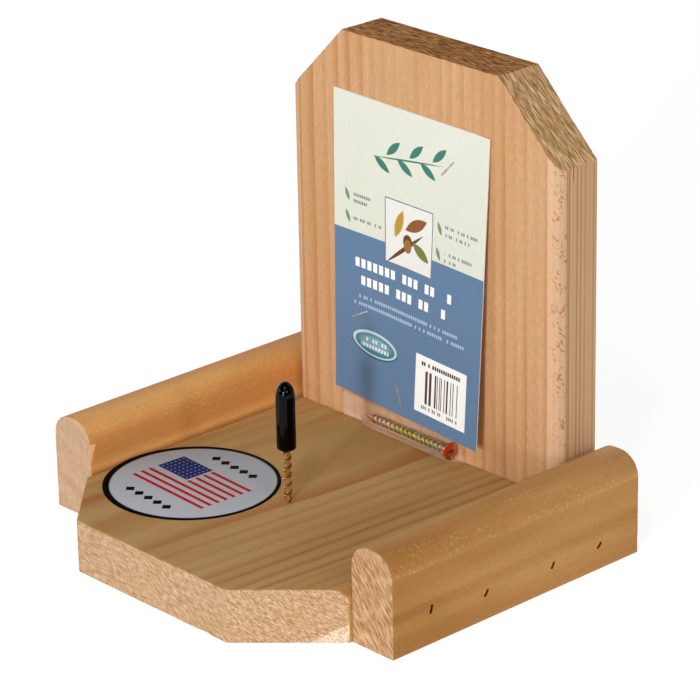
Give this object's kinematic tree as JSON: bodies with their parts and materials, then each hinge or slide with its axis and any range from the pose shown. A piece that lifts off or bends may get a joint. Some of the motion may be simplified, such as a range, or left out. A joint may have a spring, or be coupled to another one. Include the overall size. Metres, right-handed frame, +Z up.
{
  "type": "squirrel platform feeder",
  "caption": "Cedar platform feeder for squirrels: clipped platform between side rails, an upright back board, and a capped upright screw that takes an ear of corn.",
  "frame": {"origin": "on the ground under the middle of the feeder's outer box", "axes": "+X to the right seen from the front, +Y to the back board, +Z up"},
  "size_m": [0.241, 0.204, 0.231],
  "materials": {
    "cedar": "planed, unfinished",
    "yellow_zinc": "yellow zinc plated",
    "nail_steel": "plain wire",
    "staple_wire": "zinc plated",
    "black_vinyl": "dipped vinyl, glossy",
    "printed_card": "printed, satin",
    "sticker_film": "printed, satin",
    "clear_film": "clear film"
  },
  "bodies": {
    "feeder": {"platform_board": "cedar", "back_board": "cedar", "left_rail": "cedar", "right_rail": "cedar", "corn_screw": "yellow_zinc", "mounting_screw": "yellow_zinc", "label_card": "printed_card", "round_sticker": "sticker_film", "hardware_bag": "clear_film", "back_board_screw_left": "yellow_zinc", "back_board_screw_right": "yellow_zinc", "left_rail_nail_1": "nail_steel", "left_rail_nail_2": "nail_steel", "left_rail_nail_3": "nail_steel", "left_rail_nail_4": "nail_steel", "right_rail_nail_1": "nail_steel", "right_rail_nail_2": "nail_steel", "right_rail_nail_3": "nail_steel", "right_rail_nail_4": "nail_steel", "card_staple_upper": "staple_wire", "card_staple_left": "staple_wire", "card_staple_lower": "staple_wire"},
    "cap": {"screw_cap": "black_vinyl"}
  },
  "joints": [
    {"name": "cap_pull", "type": "slide", "parent": "feeder", "child": "cap", "axis": [0, 0, 1], "range_m": [0, 0.045]}
  ]
}
